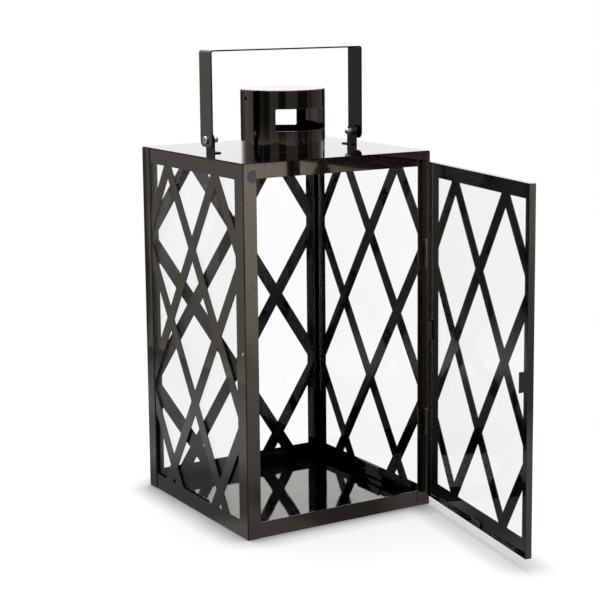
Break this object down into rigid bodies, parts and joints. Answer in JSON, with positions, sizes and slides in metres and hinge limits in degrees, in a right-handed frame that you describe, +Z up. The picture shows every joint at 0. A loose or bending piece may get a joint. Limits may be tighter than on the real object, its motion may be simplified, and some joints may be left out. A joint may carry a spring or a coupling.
{
  "type": "candle lantern",
  "caption": "Square sheet-steel candle lantern with glazed diamond-lattice sides, a hinged glazed door, a vented round chimney and a folding strap handle.",
  "frame": {"origin": "on the ground under the middle of the square body", "axes": "+Z up, -Y out of the door side, +X to the right as seen from the door side, where the door's hinges are"},
  "size_m": [0.2201, 0.4354, 0.4784],
  "materials": {
    "sheet_metal": "sheet steel plated in mirror-bright black nickel",
    "fastener": "bright zinc-plated steel",
    "glass": "clear float glass"
  },
  "bodies": {
    "body": {"floor_plate": "sheet_metal", "roof_plate": "sheet_metal", "left_lattice": "sheet_metal", "right_lattice": "sheet_metal", "rear_lattice": "sheet_metal", "rear_left_post": "sheet_metal", "rear_right_post": "sheet_metal", "front_left_post": "sheet_metal", "front_right_post": "sheet_metal", "header": "sheet_metal", "sill": "sheet_metal", "left_pane": "glass", "right_pane": "glass", "rear_pane": "glass", "pane_clips": "sheet_metal", "catch_stud": "fastener", "chimney_tube": "sheet_metal", "chimney_cap": "sheet_metal", "left_ear": "sheet_metal", "right_ear": "sheet_metal", "pivot_screws": "fastener", "pivot_washers": "fastener", "pivot_nuts": "fastener", "upper_fixed_leaf": "sheet_metal", "lower_fixed_leaf": "sheet_metal", "hinge_pins": "fastener"},
    "door": {"upper_door_leaf": "sheet_metal", "lower_door_leaf": "sheet_metal", "door_tray": "sheet_metal", "door_pane": "glass", "door_pane_clips": "sheet_metal", "catch_spring": "sheet_metal"},
    "handle": {"handle_strap": "sheet_metal"}
  },
  "joints": [
    {"name": "door_hinge", "type": "hinge", "parent": "body", "child": "door", "pos_m": [0.1045, -0.112, 0.179], "axis": [0, 0, 1], "range_deg": [-80, 50]},
    {"name": "handle_pivot", "type": "hinge", "parent": "body", "child": "handle", "pos_m": [0, 0, 0.3874], "axis": [1, 0, 0], "range_deg": [-88, 88]}
  ]
}
